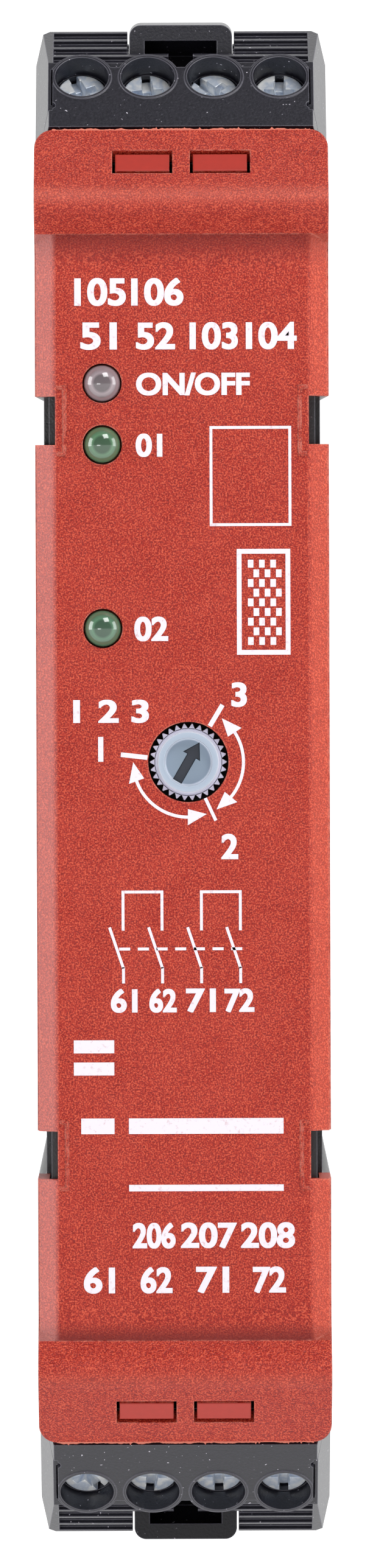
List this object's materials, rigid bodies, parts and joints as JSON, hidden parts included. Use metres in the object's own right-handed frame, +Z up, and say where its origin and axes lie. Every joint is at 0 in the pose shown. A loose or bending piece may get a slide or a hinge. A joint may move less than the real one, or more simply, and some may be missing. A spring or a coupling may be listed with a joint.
{
  "type": "safety relay",
  "caption": "Slim rail-mounted safety relay: red moulded front, black housing, pluggable screw terminals at both ends, indicator lamps and a mode selector.",
  "frame": {"origin": "middle of the face that sits on the rail, on the rail's centre line", "axes": "+Z up along the height, +Y into the wall, +X across the width; the front faces -Y"},
  "size_m": [0.0226, 0.1136, 0.1184],
  "materials": {
    "housing_black": "fine matt texture",
    "plug_black": "satin moulded",
    "cover_red": "spark-eroded texture",
    "knob_grey": "satin, slightly translucent",
    "lamp_clear": "clear tinted lens",
    "lamp_green": "green lens",
    "board_green": "solder resist",
    "part_black": "matt",
    "relay_case": "smooth",
    "transformer_case": "taped coil",
    "capacitor_can": "satin",
    "absorber_blue": "dipped",
    "fuse_glass": "clear",
    "zinc_steel": "zinc plated",
    "screw_zinc": "zinc plated, faint iridescence",
    "tinned_bronze": "tinned",
    "spring_steel": "bright"
  },
  "bodies": {
    "housing": {"housing_tub": "housing_black", "housing_side_cover": "housing_black", "front_cover": "cover_red", "lamp_supply": "lamp_clear", "lamp_run": "lamp_green", "lamp_output": "lamp_green", "foot_spring": "spring_steel", "selector_switch": "part_black", "front_board": "board_green", "main_board": "board_green", "board_link": "part_black", "relay_upper": "relay_case", "relay_lower": "relay_case", "transformer": "transformer_case", "capacitors": "capacitor_can", "logic_chips": "part_black", "surge_absorber": "absorber_blue", "fuse": "fuse_glass", "top_front_header": "part_black", "top_front_pins": "tinned_bronze", "top_rear_header": "part_black", "top_rear_pins": "tinned_bronze", "bottom_front_header": "part_black", "bottom_front_pins": "tinned_bronze", "bottom_rear_header": "part_black", "bottom_rear_pins": "tinned_bronze"},
    "foot": {"rail_foot": "housing_black"},
    "selector": {"selector_knob": "knob_grey"},
    "top_front_plug": {"top_front_plug_body": "plug_black", "top_front_screw_face": "plug_black", "top_front_clamps": "zinc_steel", "top_front_screws": "screw_zinc", "top_front_contacts": "tinned_bronze"},
    "top_front_lever": {"top_front_release_lever": "plug_black"},
    "top_rear_plug": {"top_rear_plug_body": "plug_black", "top_rear_screw_face": "plug_black", "top_rear_clamps": "zinc_steel", "top_rear_screws": "screw_zinc", "top_rear_contacts": "tinned_bronze"},
    "top_rear_lever": {"top_rear_release_lever": "plug_black"},
    "bottom_front_plug": {"bottom_front_plug_body": "plug_black", "bottom_front_screw_face": "plug_black", "bottom_front_clamps": "zinc_steel", "bottom_front_screws": "screw_zinc", "bottom_front_contacts": "tinned_bronze"},
    "bottom_front_lever": {"bottom_front_release_lever": "plug_black"},
    "bottom_rear_plug": {"bottom_rear_plug_body": "plug_black", "bottom_rear_screw_face": "plug_black", "bottom_rear_clamps": "zinc_steel", "bottom_rear_screws": "screw_zinc", "bottom_rear_contacts": "tinned_bronze"},
    "bottom_rear_lever": {"bottom_rear_release_lever": "plug_black"}
  },
  "joints": [
    {"name": "foot_slide", "type": "slide", "parent": "housing", "child": "foot", "axis": [0, 0, -1], "range_m": [0, 0.0035], "stiffness_N_per_m": 1500, "springref_m": -0.002, "deforming": ["foot_spring"]},
    {"name": "selector_turn", "type": "hinge", "parent": "housing", "child": "selector", "pos_m": [0.0004, -0.1084, 0.002], "axis": [0, 1, 0], "range_deg": [0, 247]},
    {"name": "top_front_plug_pull", "type": "slide", "parent": "housing", "child": "top_front_plug", "axis": [0, -0.7431, 0.6691], "range_m": [0, 0.01]},
    {"name": "top_front_lever_swing", "type": "hinge", "parent": "top_front_plug", "child": "top_front_lever", "pos_m": [0, -0.09286, 0.05522], "axis": [-1, 0, 0], "range_deg": [0, 8]},
    {"name": "top_rear_plug_pull", "type": "slide", "parent": "housing", "child": "top_rear_plug", "axis": [0, -0.7431, 0.6691], "range_m": [0, 0.01]},
    {"name": "top_rear_lever_swing", "type": "hinge", "parent": "top_rear_plug", "child": "top_rear_lever", "pos_m": [0, -0.06886, 0.05522], "axis": [-1, 0, 0], "range_deg": [0, 8]},
    {"name": "bottom_front_plug_pull", "type": "slide", "parent": "housing", "child": "bottom_front_plug", "axis": [0, -0.7431, -0.6691], "range_m": [0, 0.01]},
    {"name": "bottom_front_lever_swing", "type": "hinge", "parent": "bottom_front_plug", "child": "bottom_front_lever", "pos_m": [0, -0.09286, -0.05522], "axis": [1, 0, 0], "range_deg": [0, 8]},
    {"name": "bottom_rear_plug_pull", "type": "slide", "parent": "housing", "child": "bottom_rear_plug", "axis": [0, -0.7431, -0.6691], "range_m": [0, 0.01]},
    {"name": "bottom_rear_lever_swing", "type": "hinge", "parent": "bottom_rear_plug", "child": "bottom_rear_lever", "pos_m": [0, -0.06886, -0.05522], "axis": [1, 0, 0], "range_deg": [0, 8]}
  ]
}
